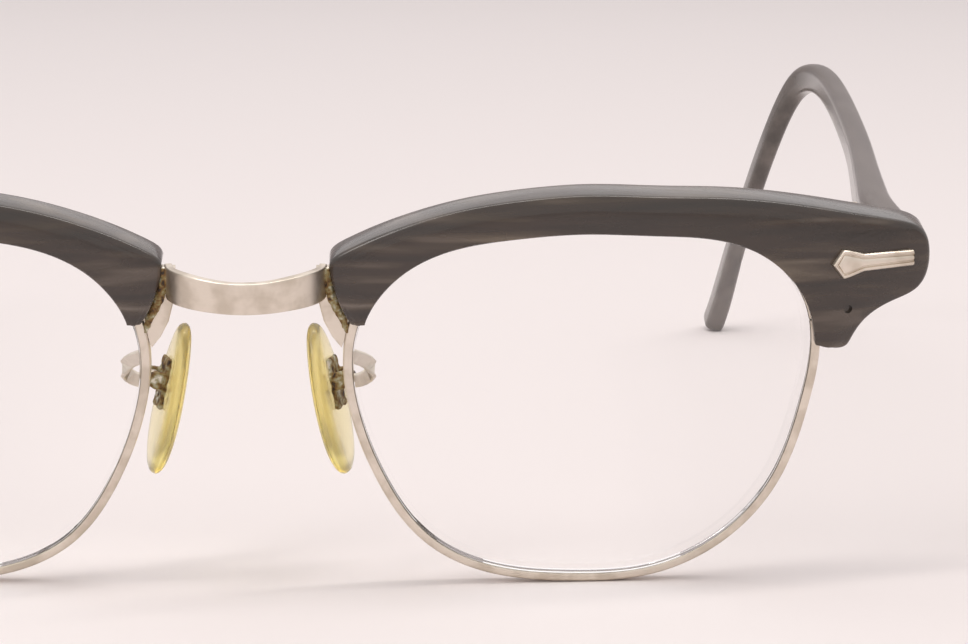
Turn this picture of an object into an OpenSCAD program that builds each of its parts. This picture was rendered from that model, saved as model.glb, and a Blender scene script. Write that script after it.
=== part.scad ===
// Browline glasses: plastic brows over thin metal eyewires, with hooked plastic temples.
// X runs across the face, the front looks along -Y, and Z is up. The temples are open,
// and the glasses stand on the bottoms of both rims and on the ends of both temples.

/* [Lenses] */
// Width of a lens at its widest
lens_w = 48; // [45:0.5:52]
// Height of a lens at its tallest
lens_h = 39.2; // [37:0.1:43]
// Thickness of a lens
lens_t = 2; // [1.7:0.1:2.2]
// Gap between the two lenses
bridge_gap = 20.5; // [19.5:0.5:23]
// Radius of the curve that each side of the front follows
base_r = 130; // [115:5:180]
// Angle at which each lens turns back towards its outer side
wrap = 3; // [2:0.25:4]
// Angle at which the front leans forwards at its top
lean = 10.4; // [8:0.4:12]

/* [Eyewires] */
// Metal outside the lens edge
wire_wall = 0.55; // [0.45:0.05:0.7]
// Metal that laps over the lens edge
wire_lip = 0.45; // [0.35:0.05:0.6]
// Depth of the eyewire from front to back
wire_depth = 2; // [1.8:0.1:2.2]
// Width of the groove that holds the lens
groove_w = 1.1; // [0.9:0.1:1.3]

/* [Brows] */
// Thickness of plastic in front of the middle of the eyewire
brow_front = 2.1; // [1.9:0.05:2.5]
// Thickness of plastic behind the middle of the eyewire
brow_back = 1.9; // [1.7:0.05:2.2]
// How far the front face swells in its middle
brow_crown = 0.25; // [0:0.05:0.4]
// Rounding of the long edges
brow_edge = 0.45; // [0.3:0.05:0.6]
// How far the lip laps over the lens at the nose end
lip_nose = 0.9; // [0.7:0.05:1.1]
// How far the lip laps over the lens at the outer end
lip_outer = 0.1; // [0:0.05:0.3]

/* [Bridge] */
// Height of the strap
strap_h = 3.3; // [2.9:0.1:3.6]
// Thickness of the strap
strap_t = 0.8; // [0.7:0.1:1.1]
// How far the strap bows forwards of the lenses
strap_bow = 4.6; // [3.5:0.1:5.5]
// How far the middle of the strap hangs below its ends
strap_dip = 0.4; // [0:0.1:1.5]
// Thickness of the feet
foot_t = 1.1; // [0.9:0.05:1.2]

/* [Plaques] */
// Length of a plaque
plaque_l = 8.9; // [8.4:0.1:9.2]
// Height of the arrow head
plaque_head = 3.0; // [2.6:0.1:3.2]
// Height of the bar
plaque_bar = 1.6; // [1.4:0.1:1.9]
// Thickness of a plaque
plaque_t = 0.7; // [0.5:0.05:0.9]

/* [Hinges] */
// Radius of a knuckle
knuckle_r = 1.5; // [1.4:0.05:1.6]
// Height of one knuckle
knuckle_h = 0.86; // [0.8:0.02:0.9]
// Radius of the hinge screw
pin_r = 0.6; // [0.5:0.05:0.7]
// Thickness of a hinge leaf
leaf_t = 0.75; // [0.6:0.05:0.85]
// Height of a hinge leaf
leaf_h = 4.2; // [3.8:0.1:4.4]

/* [Temples] */
// Length of the straight arm, from the hinge to the bend
arm_l = 100; // [88:1:110]
// How far the end of the hook lies behind the start of the bend
hook_reach = 31.8; // [28:0.2:36]
// How far the hook leans inwards on its way down
hook_in = 11.2; // [9:0.1:13]
// How far the arm runs outwards on its way back
arm_bow = 8.4; // [6:0.2:9]
// Angle at which the open temples rise towards the back
rise = 2.5; // [1:0.25:4]
// Thickness of a temple at the hinge
butt_t = 3.7; // [3.5:0.1:4]
// Height of a temple at the hinge
butt_h = 6.2; // [5.6:0.1:6.8]
// Thickness of a temple along the arm
arm_t = 2.8; // [2.5:0.1:3.2]
// Height of a temple along the arm
arm_h = 4; // [3.6:0.1:4.6]
// Height of the flat end of the hook
hook_h = 4.4; // [4:0.1:5.5]
// Radius of the steel core
core_r = 0.6; // [0.45:0.05:0.65]

/* [Nose pads] */
// Height of a pad
pad_h = 16.3; // [14:0.1:17]
// Width of a pad from front to back
pad_w = 8.25; // [7.5:0.25:9]
// Thickness of a pad
pad_t = 1.7; // [1.5:0.1:2.2]
// Angle between a pad and straight back
pad_splay = 15; // [12:1:24]
// Angle at which the pads spread towards their lower ends
pad_tilt = 12.5; // [9:0.5:16]
// Angle at which the upper ends of the pads lean back from the front
pad_lean = 14; // [8:1:18]

/* [Hidden] */
$fn = 40;

METAL = "Silver";
BROW = "DimGray";
PAD = "Khaki";
ARM = "Gray";

// Gaps: between pieces that touch, between pieces that turn on each other, and in running fits
seat = 0.03;
rim_gap = 0.07;
free = 0.3;
fit = 0.05;

// Lens shape: its radius at every 22.5 degrees, from the outer side, for a lens of the size below
former = [22.8, 26.4, 25.1, 20.3, 19.6, 20.4, 24.2, 25.8, 23, 21.5, 21.7, 20, 18.9, 20.5, 21.7, 22.5];
former_w = 48;
former_h = 39.2;
eye_x = (lens_w + bridge_gap) / 2;

// Weights of the four control values that a cubic curve blends
function blend(f) = [pow(1 - f, 3), 3*f*f*f - 6*f*f + 4, 3*f*f + 3*f + 1 - 3*f*f*f, f*f*f] / 6;
// A closed curve through a ring of control values, one step for each value
function ring_at(list, k) = let (i = floor(k), n = len(list), w = blend(k - i))
    w[0]*list[(i + n - 1) % n] + w[1]*list[i % n] + w[2]*list[(i + 1) % n] + w[3]*list[(i + 2) % n];
function clamped(list, i) = list[max(0, min(len(list) - 1, i))];
// An open curve that starts on the first control value at s = 0 and ends on the last at s = 1
function path_at(list, s) = let (k = s*(len(list) + 1) - 1, i = min(floor(k), len(list) - 1), w = blend(k - i))
    w[0]*clamped(list, i - 1) + w[1]*clamped(list, i) + w[2]*clamped(list, i + 1) + w[3]*clamped(list, i + 2);
function unit(v) = v / norm(v);
function lowest(points, axis) = min([for (p = points) p[axis]]);
function highest(points, axis) = max([for (p = points) p[axis]]);

// Edge of the lens at an angle from its outer side, from the middle of the lens
function lens_edge(a) = let (r = ring_at(former, (a + 360) % 360 / 22.5))
    [r*cos(a)*lens_w/former_w, r*sin(a)*lens_h/former_h];
function edge_normal(a) = let (t = lens_edge(a + 1) - lens_edge(a - 1)) unit([t.y, -t.x]);
function beside(a, out) = lens_edge(a) + out*edge_normal(a);
// Depth of the curve of the front at a place seen from the middle of the lens
function shell(p) = (p.x*p.x + p.y*p.y)/(2*base_r) + p.x*tan(wrap);
function on_shell(p, back) = [eye_x + p.x, shell(p) + back, p.y];

// A solid skin over a row of rings, closed by a flat face or by a point at each end
module skin(rings, loop = false, tips = []) {
    n = len(rings[0]);
    m = len(rings);
    last = (m - 1)*n;
    rows = loop ? m : m - 1;
    sides = [for (i = [0:rows - 1], j = [0:n - 1])
        let (a = i*n + j, b = i*n + (j + 1) % n, c = (i + 1) % m*n + j, d = (i + 1) % m*n + (j + 1) % n)
        each [[a, b, d], [a, d, c]]];
    fans = [for (j = [0:n - 1]) each [[m*n, (j + 1) % n, j], [m*n + 1, last + j, last + (j + 1) % n]]];
    flats = [for (j = [0:n - 3]) each [[n - 1, j + 1, j], [last + n - 1, last + j, last + j + 1]]];
    ends = loop ? [] : len(tips) == 2 ? fans : flats;
    polyhedron([for (r = rings) each r, each tips], concat(sides, ends), convexity = 8);
}

// Height that brings the lowest point of the rims to the floor
rim_low = lowest([for (a = [180:5:360]) leaned(on_shell(beside(a, wire_wall), -wire_depth/2))], 2);
// Place of a point of the front once the front leans
function leaned(p) = [p.x, p.y*cos(lean) - p.z*sin(lean), p.y*sin(lean) + p.z*cos(lean)];

// The hinge pin, from the middle of the front
pin_in = 1.6 + butt_t/2;
pin_x = lens_w/2 + 4.85;
pin_z = 15;
pin_y = shell([pin_x, pin_z]) + brow_back + knuckle_r + 0.7;
pin = [eye_x + pin_x, pin_y, pin_z];
pin_world = leaned(pin) - [0, 0, rim_low];

// The temple: place from the pin, half thickness and half height of each control section
butt_y = shell([pin_x + pin_in - butt_t/2, pin_z]) + brow_back + free - pin_y;
mitre = atan(pin_x/base_r + tan(wrap));
out_x = pin_in + arm_bow;
function temple_frame_sections(drop) = let (t = arm_t/2, h = arm_h/2, back = arm_l + hook_reach) [
    [pin_in, butt_y, 0, butt_t/2, butt_h/2],
    [pin_in, 3, 0, butt_t/2, butt_h/2],
    [pin_in, 10, 0, butt_t/2, butt_h/2],
    [pin_in + arm_bow*0.12, arm_l*0.18, 0, butt_t/2 - 0.15, butt_h/2 - 0.25],
    [pin_in + arm_bow*0.31, arm_l*0.32, 0, t + 0.1, (butt_h + arm_h)/4],
    [pin_in + arm_bow*0.58, arm_l*0.5, 0, t, h + 0.1],
    [pin_in + arm_bow*0.81, arm_l*0.72, 0, t, h],
    [out_x - 0.1, arm_l*0.92, 0, t, h],
    [out_x, arm_l*1.067, 0.4, t, h],
    [out_x - hook_in*0.2, back - 17.2, drop*0.03, t*0.95, h*0.95],
    [out_x - hook_in*0.46, back - 14.2, drop*0.25, t*0.9, h*0.9],
    [out_x - hook_in*0.6, back - 8.8, drop*0.453, t*0.85, h*0.9],
    [out_x - hook_in*0.8, back - 4.7, drop*0.71, t*0.9, h],
    [out_x - hook_in*0.9, back - 1.3, drop*0.9, t, hook_h/2],
    [out_x - hook_in, back, drop, t, hook_h/2]
];
stations = 40;
function risen(p) = [p.x, p.y*cos(rise) - p.z*sin(rise), p.y*sin(rise) + p.z*cos(rise)];
function place(c) = [c[0], c[1], c[2]];
function heading(list, s) = unit(place(path_at(list, min(1, s + 0.01))) - place(path_at(list, max(0, s - 0.01))));
function across(t) = unit([1, 0, 0] - t.x*t);
// Twelve places round a section with round corners, as shares of its half sizes
function rounding(ht, hh, r) = [for (q = [[1, 1, 0], [-1, 1, 90], [-1, -1, 180], [1, -1, 270]], e = [0, 45, 90])
    [q.x*(ht - r) + r*cos(q.z + e), q.y*(hh - r) + r*sin(q.z + e)]];
// One ring of the temple at s, grown by its own half sizes or of a set radius
function temple_ring(list, s, shrink = 1) = let (c = path_at(list, s), t = heading(list, s), u = across(t),
    v = cross(u, t), slope = s == 0 ? tan(mitre) : 0)
    [for (q = rounding(c[3]*shrink, c[4]*shrink, min(c[3], c[4])*shrink*0.6))
        place(c) + q.x*u + q.y*v + [0, slope*(q.x + butt_t/2), 0]];
function core_ring(list, s, r) = let (c = path_at(list, s), t = heading(list, s), u = across(t), v = cross(u, t),
    slope = s == 0 ? tan(mitre) : 0)
    [for (e = [15:30:345]) place(c) + r*cos(e)*u + r*sin(e)*v + [0, slope*(r*cos(e) + butt_t/2), 0]];
function temple_rings(list) = concat([temple_ring(list, 0)],
    [for (i = [1:stations - 1]) temple_ring(list, 0.06 + 0.87*i/stations)],
    [temple_ring(list, 0.935, 0.93), temple_ring(list, 0.96, 0.75)]);
function temple_low(drop) = lowest([for (r = temple_rings(temple_frame_sections(drop)), p = r) risen(p)], 2);
drop_guess = -pin_world.z;
hook_drop = drop_guess - (temple_low(drop_guess) + pin_world.z);
temple_list = temple_frame_sections(hook_drop);

module front_frame() {
    translate([0, -depth_mid, -rim_low]) rotate([lean, 0, 0]) children();
}

module temple_frame() {
    translate(pin_world - [0, depth_mid, 0]) rotate([rise, 0, 0]) children();
}

// Stands pieces on the curve of the front, with Y square to it
module on_front(p) {
    translate(on_shell(p, 0)) rotate([-atan(p.y/base_r), 0, atan(p.x/base_r + tan(wrap))]) children();
}

module left() {
    mirror([1, 0, 0]) children();
}

// Eyewires
split_a = 20.5;
split_gap = 0.25;
wire_steps = 64;
wire_round = 0.35;
function wire_ring(a) = let (w = wire_wall, h = wire_depth/2, g = groove_w/2, b = wire_round, c = 0.15)
    [for (q = [[-wire_lip, g], [-wire_lip, h - c], [c - wire_lip, h], [w - b, h], [w - 0.3*b, h - 0.3*b], [w, h - b],
        [w, b - h], [w - 0.3*b, 0.3*b - h], [w - b, -h], [c - wire_lip, -h], [-wire_lip, c - h], [-wire_lip, -g],
        [0, 0]])
        let (p = beside(a, q.x)) [eye_x + p.x, shell(lens_edge(a)) + q.y, p.y]];

// The closing block, which the eyewire opens at
block_w = 1.9;
block_up = 2.2;
block_down = 1.8;
block_front = -0.9;
block_back = 1.2;
block_at = beside(split_a, wire_wall + block_w/2 - 0.15);
lug = [1.9, 1.6];
lug_w = 2.1;
lug_h = 2.2;
lug_t = 0.8;
small_r = 0.5;
head_r = 0.85;
head_h = 0.6;

module eyewire() {
    color(METAL) front_frame() {
        difference() {
            union() {
                skin([for (i = [0:wire_steps])
                    wire_ring(split_a + split_gap + (360 - 2*split_gap)*i/wire_steps)]);
                on_front(block_at) {
                    translate([-block_w/2, block_front, 0.06])
                        cube([block_w, block_back - block_front, block_up - 0.06]);
                    translate([-block_w/2, block_front, -block_down])
                        cube([block_w, block_back - block_front, block_down - 0.06]);
                    translate([lug.x - lug_w/2, 0, lug.y - lug_h/2])
                        cube([lug_w, lug_t, lug_h]);
                }
            }
            on_front(block_at) {
                translate([0, 0.15, -block_down - 1]) cylinder(r = small_r + seat, h = block_up + block_down + 2);
                translate([lug.x, -1, lug.y]) rotate([-90, 0, 0]) cylinder(r = small_r + seat, h = 3);
            }
        }
    }
}

module closing_screw() {
    color(METAL) front_frame() on_front(block_at) translate([0, 0.15, block_up + seat]) {
        cylinder(r = head_r, h = head_h);
        translate([0, 0, 0.4 - block_up - block_down]) cylinder(r = small_r, h = block_up + block_down);
    }
}

// Lenses
bevel = wire_lip + 0.1;
tongue = groove_w/2 - 0.1;
function lens_ring(inset, share, back) = [for (i = [0:wire_steps - 1]) let (a = split_a + split_gap + 360*i/wire_steps,
    p = share*beside(a, -inset)) [eye_x + p.x, shell(p) + back, p.y]];
function tongue_ring(inset, back) = [for (i = [0:wire_steps - 1]) let (a = split_a + split_gap + 360*i/wire_steps,
    p = beside(a, -inset)) [eye_x + p.x, shell(lens_edge(a)) + back, p.y]];

module lens() {
    color("LightCyan", 0.35) front_frame() skin(
        [lens_ring(bevel, 0.5, -lens_t/2), lens_ring(bevel, 1, -lens_t/2), tongue_ring(bevel, -tongue),
        tongue_ring(2*seat, 0), tongue_ring(bevel, tongue), lens_ring(bevel, 1, lens_t/2),
        lens_ring(bevel, 0.5, lens_t/2)],
        tips = [[eye_x, -lens_t/2, 0], [eye_x, lens_t/2, 0]]);
}

// Brows: each rib starts on the lens edge at an angle and ends so far outwards and upwards from it
brow_ribs = [
    [157.5, -0.6, -0.4], [156, -1.4, -0.1], [152, -2.9, 0.5], [148, -4.5, 1.1], [145, -5.6, 1.6],
    [142.5, -5.8, 1.7], [139, -5.2, 1.7], [133.5, -4.1, 2], [126, -2.3, 2.6], [114, -0.9, 3.2],
    [100, -0.5, 3.4], [82, -0.2, 3.5], [65, 1.1, 3.5], [50.5, 2.6, 3.8], [41.5, 5.6, 4.2],
    [36, 9.5, 4.4], [33.3, 12.8, 4.4], [31.8, 13.8, 3.6], [30.3, 13.8, 2.2], [28.7, 13.3, 0.7],
    [27, 11.9, -0.5], [25, 8.8, -0.3], [22, 5.8, -0.3], [19, 4.2, -0.6], [17, 3.6, -0.85], [15.9, 3.1, -0.9],
    [15.2, 2.2, -0.55]
];
brow_steps = 46;
function brow_ring(s) = let (rib = path_at(brow_ribs, s), a = rib[0], lap = lip_nose + (lip_outer - lip_nose)*s,
    root = beside(a, -lap), end = lens_edge(a) + [rib[1], rib[2]], l = norm(end - root), e = (end - root)/l,
    step = min((lap + wire_wall + rim_gap)/(e*edge_normal(a)), l - 0.75), f = -brow_front, b = brow_back,
    r = brow_edge, lip = -wire_depth/2 - rim_gap)
    [for (q = [[0, lip], [0, f + r], [r*0.8, f], [l/2, f - brow_crown], [l - r, f], [l - r*0.25, f + r*0.4],
        [l, f + r*1.4], [l, b - r], [l - r, b], [step, b], [step, lip]])
        on_shell(root + q.x*e, q.y)];

// Feet of the bridge, flat behind the nose end of each brow
foot_at = [-lens_w/2 - 0.75, 11];
foot_y = shell(foot_at) - wire_depth/2 + foot_t/2 + 0.1;
foot_outline = concat(
    [for (q = [[3.1, 15.3], [3.15, 13], [2.85, 11.5], [2.35, 9.5], [1.5, 7.8], [0.55, 6.6]]) [-lens_w/2 - q.x, q.y]],
    [for (a = [163:-3:142]) beside(a, wire_wall + seat)]);
nose_screw = [0.1 - lens_w/2, 13.2];

module foot() {
    translate([eye_x, foot_y + foot_t/2, 0]) rotate([90, 0, 0]) linear_extrude(foot_t) polygon(foot_outline);
}

// Room for a stretch of the eyewire
module wire_room(from, to) {
    h = wire_depth/2 + rim_gap;
    w = wire_wall + rim_gap;
    skin([for (a = [from:2:to]) [for (q = [[-1.5, 5], [w, 5], [w, -h], [-1.5, -h]])
        let (p = beside(a, q.x)) [eye_x + p.x, shell(lens_edge(a)) + q.y, p.y]]]);
}

module brow_pockets() {
    lip_y = foot_y - foot_t/2 - seat;
    translate([eye_x, lip_y + 8, 0]) rotate([90, 0, 0]) linear_extrude(8) polygon(concat(
        [for (q = [[-6, 15.5], [-6, 4], [3, 4], [3, 10.4]]) [q.x - lens_w/2, q.y]],
        [for (a = [156:-2:142]) beside(a, wire_wall - 0.2)], [beside(142, wire_wall + seat) + [0.2, 0.6]]));
    wire_room(134, 170);
    wire_room(8, 30);
    on_front(block_at) {
        translate([-block_w/2 - 1, block_front - 0.1, -block_down - 0.1])
            cube([block_w + 1.1, 8, block_up + block_down + head_h + 0.2]);
        translate([0, -0.1, lug.y - lug_h/2 - 0.1]) cube([lug.x + lug_w/2 + 0.1, 8, lug_h + 0.2]);
    }
}

// Plaque and front hinge share this place on the lobe, outwards and upwards from the lens
lobe_at = [lens_w/2 + 6, pin_z];
rivet_x = [-2.4, 2.2];
plaque_seat = brow_front - 0.05;
function plaque_outline(k) = [for (q = [[-0.5, 0], [-0.375, 0.5], [-0.3, 0.47], [-0.12, 0.28]])
    [q.x*plaque_l, q.y*plaque_head*k]];

module plaque_shape(grow) {
    half = concat([[-plaque_l/2 - grow, 0]],
        [[-plaque_l*0.37, plaque_head/2 + grow], [-plaque_l*0.3, plaque_head/2*0.93 + grow],
        [-plaque_l*0.12, plaque_bar/2 + 0.1 + grow], [plaque_l/2 + grow, plaque_bar/2 + grow]]);
    polygon(concat(half, [for (i = [len(half) - 1:-1:1]) [half[i].x, -half[i].y]]));
}

module plaque_frame() {
    on_front(lobe_at) translate([-1.05, 0, -0.2]) children();
}

module brow() {
    color(BROW) front_frame() difference() {
        skin([for (i = [0:brow_steps]) brow_ring(i/brow_steps)]);
        brow_pockets();
        plaque_frame() translate([0, -plaque_seat, 0]) rotate([90, 0, 0]) linear_extrude(2) plaque_shape(seat);
        on_front(lobe_at) {
            for (x = rivet_x) translate([x, -5, 0]) rotate([-90, 0, 0]) cylinder(r = pin_r + seat, h = 10);
            translate([-3.6 - seat, brow_back - leaf_t - 2*seat, -stack/2 - hang - 0.1])
                cube([7.2 + 2*seat, 4, leaf_h/2 + stack/2 + hang + 0.5]);
        }
        translate([eye_x + nose_screw.x, foot_y, nose_screw.y]) rotate([90, 0, 0])
            cylinder(r = small_r + seat, h = foot_t/2 + 1);
        on_front(block_at) translate([lug.x, 0, lug.y]) rotate([90, 0, 0]) cylinder(r = small_r + seat, h = 1.7);
    }
}

module front_plaque() {
    color(METAL) front_frame() {
        plaque_frame() translate([0, -plaque_seat, 0]) rotate([90, 0, 0]) linear_extrude(plaque_t) plaque_shape(0);
        on_front(lobe_at) for (x = rivet_x) translate([x, -plaque_seat - 0.1, 0]) rotate([-90, 0, 0])
            cylinder(r = pin_r, h = plaque_seat + brow_back + 0.1);
    }
}

// Hinges: five knuckles on one screw, three on the front leaf and two on the temple's
knuckle_gap = fit;
pitch = knuckle_h + knuckle_gap;
stack = 5*knuckle_h + 4*knuckle_gap;
hang = 0.3;
module knuckles(list, web_x, web_l, turn) {
    for (k = list) translate([0, 0, k*pitch - stack/2 - hang]) {
        cylinder(r = knuckle_r, h = knuckle_h);
        rotate([0, 0, turn]) translate([web_x, 0, 0]) cube([leaf_t + 0.3, web_l, knuckle_h]);
    }
}

module front_hinge() {
    color(METAL) front_frame() difference() {
        union() {
            on_front(lobe_at) translate([-3.6, brow_back - leaf_t - seat, -leaf_h/2]) cube([7.2, leaf_t, leaf_h]);
            translate(pin) knuckles([0, 2, 4], -0.5, knuckle_r + 0.9, 180);
        }
        on_front(lobe_at) for (x = rivet_x) translate([x, -1, 0]) rotate([-90, 0, 0])
            cylinder(r = pin_r + seat, h = 10);
        translate(pin - [0, 0, stack]) cylinder(r = pin_r + seat, h = 2*stack);
    }
}

module hinge_screw() {
    color(METAL) front_frame() translate(pin) {
        translate([0, 0, stack/2 + seat - hang]) cylinder(r = knuckle_r - 0.25, h = 0.5);
        translate([0, 0, -stack/2 - hang]) cylinder(r = pin_r, h = stack + 0.3);
    }
}

// The temple's leaf lies on the inner face of the temple
leaf_x = pin_in - butt_t/2 - seat - leaf_t;
leaf_y = knuckle_r + 0.25;
leaf_l = 8.2;
temple_rivets = [[leaf_y + 2.6, 1.35], [leaf_y + 6.2, -1.35]];
rivet_r = 0.5;

module rivet_row(r, from, to) {
    for (q = temple_rivets) translate([from, q.x, q.y]) rotate([0, 90, 0]) cylinder(r = r, h = to - from);
}

module temple_hinge() {
    color(METAL) temple_frame() difference() {
        union() {
            translate([leaf_x, leaf_y, -leaf_h/2]) cube([leaf_t, leaf_l, leaf_h]);
            rotate([lean - rise, 0, 0]) knuckles([1, 3], leaf_x - 0.3, leaf_y + 0.8, 0);
        }
        rotate([lean - rise, 0, 0]) cylinder(r = pin_r + fit, h = 3*stack, center = true);
        rivet_row(rivet_r + seat, 0, 10);
    }
}

module temple_rivet_pins() {
    color(METAL) temple_frame() rivet_row(rivet_r, leaf_x - 0.1, pin_in + butt_t/2 + 0.1);
}

core_end = 0.9;
core_steps = 33;
function core_at(i) = 0.08 + (core_end - 0.08)*i/core_steps;
module temple() {
    tunnel = [for (i = [core_steps:-1:-1]) core_ring(temple_list, i < 0 ? 0 : core_at(i), core_r + fit)];
    outer = temple_rings(temple_list);
    color(ARM) temple_frame() difference() {
        skin(concat(tunnel, outer), tips = [place(path_at(temple_list, core_end)) + 0.2*heading(temple_list, core_end),
            place(path_at(temple_list, 1)) + 0.25*heading(temple_list, 1)]);
        rivet_row(rivet_r + seat, 0, 10);
    }
}

module temple_core() {
    color(METAL) temple_frame() skin([for (i = [0:core_steps - 1]) core_ring(temple_list, core_at(i), core_r)]);
}

// Bridge: the strap runs between the feet
function strap_list() = let (x = bridge_gap/2 - 2.4, y = foot_y, z = 14, h = strap_h)
    [for (q = [[-1, 0, 0, 0.3], [-0.97, -0.25, 0.1, 0.3], [-0.85, -0.62, 1, 0.25], [-0.6, -0.95, 1, 0.1],
        [-0.3, -1.08, 0.3, 0], [0, -1.12, 0, 0], [0.3, -1.08, 0.3, 0], [0.6, -0.95, 1, 0.1],
        [0.85, -0.62, 1, 0.25], [0.97, -0.25, 0.1, 0.3], [1, 0, 0, 0.3]])
        [q.x*x, y + q.y*(strap_bow + y), z + 0.2*(1 - abs(q.x)) + q.z*strap_dip, h/2 + q[3]]];
strap_steps = 24;
function strap_rings() = let (list = strap_list(), r = 0.3)
    [for (i = [0:strap_steps]) let (s = i/strap_steps, c = path_at(list, s), t = heading(list, s),
        v = unit([0, 0, 1] - t.z*t), u = cross(t, v), h = c[3])
        [for (q = [[1, 1, 0], [1, 1, 1], [-1, 1, 1], [-1, 1, 0], [-1, -1, 0], [-1, -1, 1], [1, -1, 1], [1, -1, 0]])
            place(c) + q.x*(strap_t/2 - (q.z == 1 ? r : 0))*u + q.y*(h - (q.z == 1 ? 0 : r))*v]];

// Middle of the whole object from front to back, taken out so that the origin lies under it
strap_front = lowest([for (r = strap_rings(), p = r) leaned(p)], 1);
hook_back = highest([for (r = temple_rings(temple_list), p = r) risen(p)], 1) + pin_world.y;
depth_mid = (strap_front + hook_back)/2;

module bridge() {
    color(METAL) front_frame() difference() {
        union() {
            skin(strap_rings());
            foot();
            left() foot();
        }
        for (side = [0, 1]) mirror([side, 0, 0]) translate([eye_x + nose_screw.x, foot_y + 3, nose_screw.y])
            rotate([90, 0, 0]) cylinder(r = small_r + seat, h = 6);
    }
}

module brow_screws() {
    color(METAL) front_frame() {
        translate([eye_x + nose_screw.x, foot_y + foot_t/2 + seat, nose_screw.y]) {
            rotate([-90, 0, 0]) cylinder(r = head_r, h = 0.5);
            rotate([90, 0, 0]) cylinder(r = small_r, h = foot_t + 0.8);
        }
        on_front(block_at) translate([lug.x, lug_t + seat, lug.y]) {
            rotate([-90, 0, 0]) cylinder(r = head_r, h = 0.5);
            rotate([90, 0, 0]) cylinder(r = small_r, h = lug_t + 1.6);
        }
    }
}

// Nose pads: each rocks on a pin at the end of its arm
pad_pin = [-0.3 - lens_w/2, 6.3, 1];
pad_drop = -1.9;
ear_r = 0.95;
ear_t = 0.5;
ear_in = 1.1;
box_x = 1.25;
box_h = 5.4;
module pad_frame() {
    front_frame() translate([eye_x + pad_pin.x, pad_pin.y, pad_pin.z]) rotate([-pad_lean, 0, 0]) rotate([0, -pad_tilt, 0])
        rotate([0, 0, 180 - pad_splay]) children();
}

module nose_pad() {
    function pad_ring(share, x) = [for (e = [345:-15:0]) [x, pad_w/2*share*cos(e)*(1 - 0.2*sin(e)), pad_h/2*share*sin(e)]];
    color(PAD) pad_frame() translate([box_x + seat, 0, pad_drop]) skin(
        [pad_ring(0.85, 0), pad_ring(0.97, pad_t*0.22), pad_ring(1, pad_t*0.5), pad_ring(0.96, pad_t*0.78),
        pad_ring(0.8, pad_t*0.95)], tips = [[0, 0, 0], [pad_t*1.1, 0, 0]]);
}

module pad_box() {
    color(METAL) pad_frame() difference() {
        union() {
            translate([box_x - 0.45, -ear_in - ear_t, -box_h/2 - 0.3]) cube([0.45, 2*(ear_in + ear_t), box_h]);
            for (side = [-1, 1]) translate([0, side*(ear_in + ear_t/2), 0]) {
                rotate([90, 0, 0]) cylinder(r = ear_r, h = ear_t, center = true);
                translate([box_x/2, 0, 0]) cube([box_x - 0.1, ear_t, 2*ear_r], center = true);
            }
        }
        rotate([90, 0, 0]) cylinder(r = small_r + fit, h = 8, center = true);
    }
}

arm_steps = 20;
function pad_arm_list() = [
    [-0.05, 2.15, 5.2], [-0.05, 2.9, 5.1], [0.25, 3.8, 4.8], [1.25, 4.3, 4.3], [2.35, 4.6, 3.7],
    [2.75, 5, 2.8], [2.45, 5.4, 1.9], [1.6, 5.65, 1.3], [0.8, 5.9, 1.05], [-0.3, 6.3, 1]];
module pad_arm() {
    list = [for (p = pad_arm_list()) p + [bridge_gap/2, 0, 0]];
    color(METAL) {
        front_frame() skin([for (i = [0:arm_steps]) let (s = i/arm_steps, t = heading(list, s), v = unit([0, 0, 1] - t.z*t),
            u = cross(t, v)) [for (q = rounding(0.3, 0.75, 0.2)) path_at(list, s) + q.x*u + q.y*v]]);
        pad_frame() rotate([90, 0, 0]) {
            cylinder(r = 0.7, h = 2*(ear_in - fit), center = true);
            cylinder(r = small_r, h = 2*(ear_in + ear_t) + 0.3, center = true);
        }
    }
}

bridge();
eyewire();  // right_eyewire
left() eyewire();  // left_eyewire
lens();  // right_lens
left() lens();  // left_lens
brow();  // right_brow
left() brow();  // left_brow
front_plaque();  // right_front_plaque
left() front_plaque();  // left_front_plaque
front_hinge();  // right_front_hinge
left() front_hinge();  // left_front_hinge
hinge_screw();  // right_hinge_screw
left() hinge_screw();  // left_hinge_screw
closing_screw();  // right_closing_screw
left() closing_screw();  // left_closing_screw
brow_screws();  // right_brow_screws
left() brow_screws();  // left_brow_screws
pad_arm();  // right_pad_arm
left() pad_arm();  // left_pad_arm
pad_box();  // right_pad_box
left() pad_box();  // left_pad_box
nose_pad();  // right_nose_pad
left() nose_pad();  // left_nose_pad
temple();  // right_temple
left() temple();  // left_temple
temple_core();  // right_temple_core
left() temple_core();  // left_temple_core
temple_hinge();  // right_temple_hinge
left() temple_hinge();  // left_temple_hinge
temple_rivet_pins();  // right_temple_rivets
left() temple_rivet_pins();  // left_temple_rivets
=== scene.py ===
import math

import bmesh
import bpy
import numpy as np
from mathutils import Matrix, Vector, noise


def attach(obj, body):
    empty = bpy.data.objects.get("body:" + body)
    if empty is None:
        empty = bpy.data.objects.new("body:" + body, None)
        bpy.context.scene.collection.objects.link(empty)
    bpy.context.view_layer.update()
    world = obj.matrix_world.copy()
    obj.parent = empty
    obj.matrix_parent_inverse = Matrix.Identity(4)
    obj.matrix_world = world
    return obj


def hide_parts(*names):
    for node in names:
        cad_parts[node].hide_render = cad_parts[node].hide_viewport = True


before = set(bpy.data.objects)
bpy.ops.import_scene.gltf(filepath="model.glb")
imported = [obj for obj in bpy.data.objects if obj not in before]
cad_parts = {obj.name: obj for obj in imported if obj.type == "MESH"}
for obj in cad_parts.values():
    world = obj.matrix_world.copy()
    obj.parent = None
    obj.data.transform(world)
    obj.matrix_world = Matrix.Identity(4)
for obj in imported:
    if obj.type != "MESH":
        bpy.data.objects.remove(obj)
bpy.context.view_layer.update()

# Sizes in millimetres, as in the part's source. Inside the front, x runs outwards from the
# middle of the face, y runs backwards and z runs up from the middles of the lenses.

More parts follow.
